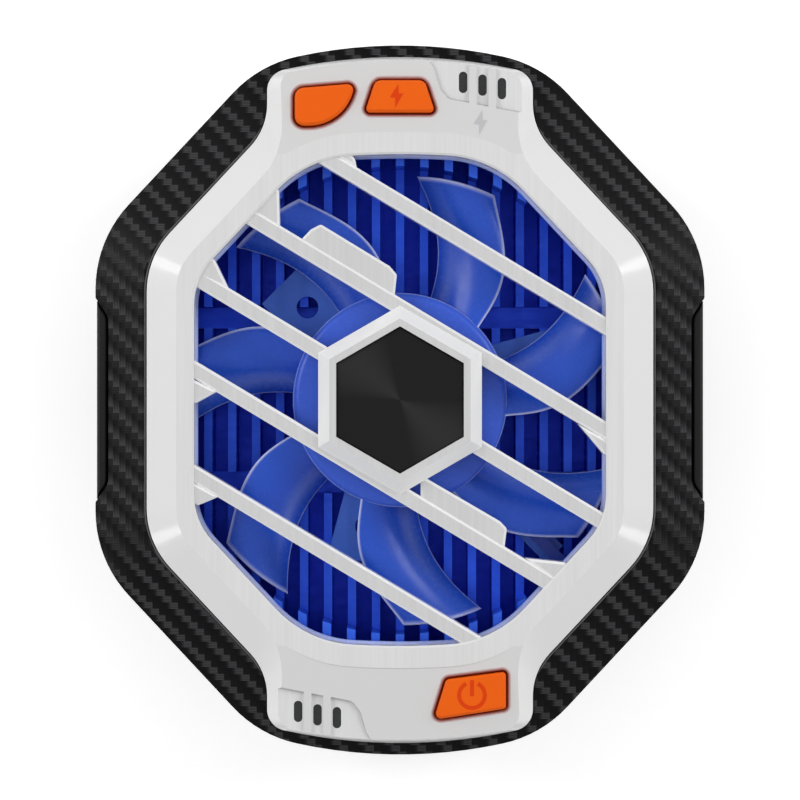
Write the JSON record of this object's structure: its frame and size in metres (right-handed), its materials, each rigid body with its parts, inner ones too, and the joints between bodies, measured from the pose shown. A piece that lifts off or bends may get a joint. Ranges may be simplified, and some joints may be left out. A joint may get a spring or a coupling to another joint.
{
  "type": "phone cooling fan",
  "caption": "Clip-on phone cooler: finned heatsink and fan behind a slanted grille, tabs with buttons, and two sprung jaws that grip a phone against a cold plate.",
  "frame": {"origin": "middle of the bounding box's bottom face: on the fan's axis, in the plane of the jaw tips", "axes": "+Z out of the grille, away from the phone; +Y towards the tab with two buttons; +X to the right as the grille is faced"},
  "size_m": [0.074, 0.0862, 0.0396],
  "materials": {
    "frame_white": "satin white",
    "grille_white": "satin white",
    "badge_black": "spun sheen",
    "shell_weave": "woven pattern under a clear coat",
    "cover_black": "fine texture",
    "jaw_black": "satin",
    "jaw_rubber": "matte",
    "pad_silicone": "matte",
    "plate_aluminium": "brushed",
    "module_ceramic": "matte",
    "fin_aluminium": "fine mill lines",
    "fan_clear": "translucent",
    "base_clear": "translucent",
    "bush_brass": "plain",
    "board_green": "solder mask",
    "core_steel": "plain",
    "coil_copper": "enamelled",
    "lead_black": "matte",
    "shaft_steel": "ground",
    "magnet_black": "plain",
    "light_clear": "frosted",
    "lamp_yellow": "plain",
    "button_orange": "satin",
    "stem_white": "plain",
    "switch_steel": "plain",
    "window_smoke": "smoked",
    "socket_steel": "plain",
    "pinion_nylon": "plain",
    "spring_steel": "plain",
    "screw_steel": "dark"
  },
  "bodies": {
    "housing": {"front_frame": "frame_white", "grille": "grille_white", "hub_badge": "badge_black", "carbon_shell": "shell_weave", "rear_cover": "cover_black", "clamp_cover": "cover_black", "cold_plate": "plate_aluminium", "contact_pad": "pad_silicone", "peltier_module": "module_ceramic", "heatsink": "fin_aluminium", "motor_base": "base_clear", "bearing_bush": "bush_brass", "motor_board": "board_green", "stator_core": "core_steel", "stator_coils": "coil_copper", "fan_lead": "lead_black", "light_ring": "light_clear", "light_boards": "board_green", "light_lamps": "lamp_yellow", "tact_switches": "switch_steel", "upper_board": "board_green", "lower_board": "board_green", "level_windows": "window_smoke", "status_windows": "window_smoke", "indicator_lamps": "lamp_yellow", "main_board": "board_green", "usb_port": "socket_steel", "pinion_pin": "shaft_steel", "clamp_spring": "spring_steel", "housing_screws": "screw_steel", "heatsink_screws": "screw_steel", "clamp_cover_screws": "screw_steel", "main_board_screws": "screw_steel", "tab_board_screws": "screw_steel"},
    "impeller": {"impeller": "fan_clear", "rotor_shaft": "shaft_steel", "rotor_magnet": "magnet_black"},
    "light_button": {"light_button": "button_orange", "light_plunger": "stem_white"},
    "boost_button": {"boost_button": "button_orange", "boost_plunger": "stem_white"},
    "power_button": {"power_button": "button_orange", "power_plunger": "stem_white"},
    "left_jaw": {"left_jaw": "jaw_black", "left_jaw_pad": "jaw_rubber"},
    "right_jaw": {"right_jaw": "jaw_black", "right_jaw_pad": "jaw_rubber"},
    "pinion": {"clamp_pinion": "pinion_nylon"}
  },
  "joints": [
    {"name": "fan_spin", "type": "hinge", "parent": "housing", "child": "impeller", "pos_m": [0, 0, 0.0286], "axis": [0, 0, 1], "continuous": true},
    {"name": "light_button_press", "type": "slide", "parent": "housing", "child": "light_button", "axis": [0, 0, -1], "range_m": [0, 0.0005], "stiffness_N_per_m": 400},
    {"name": "boost_button_press", "type": "slide", "parent": "housing", "child": "boost_button", "axis": [0, 0, -1], "range_m": [0, 0.0005], "stiffness_N_per_m": 400},
    {"name": "power_button_press", "type": "slide", "parent": "housing", "child": "power_button", "axis": [0, 0, -1], "range_m": [0, 0.0005], "stiffness_N_per_m": 400},
    {"name": "right_jaw_slide", "type": "slide", "parent": "housing", "child": "right_jaw", "axis": [1, 0, 0], "range_m": [0, 0.0105], "stiffness_N_per_m": 150},
    {"name": "left_jaw_slide", "type": "slide", "parent": "housing", "child": "left_jaw", "axis": [-1, 0, 0], "range_m": [0, 0.0105]},
    {"name": "pinion_turn", "type": "hinge", "parent": "housing", "child": "pinion", "pos_m": [0, 0.0215, 0.0148], "axis": [0, 0, -1], "range_deg": [0, 205], "deforming": ["clamp_spring"]}
  ],
  "couplings": [
    {"joint": "left_jaw_slide", "follows": "right_jaw_slide", "ratio": 1},
    {"joint": "pinion_turn", "follows": "right_jaw_slide", "rad_per_m": 333.33}
  ]
}
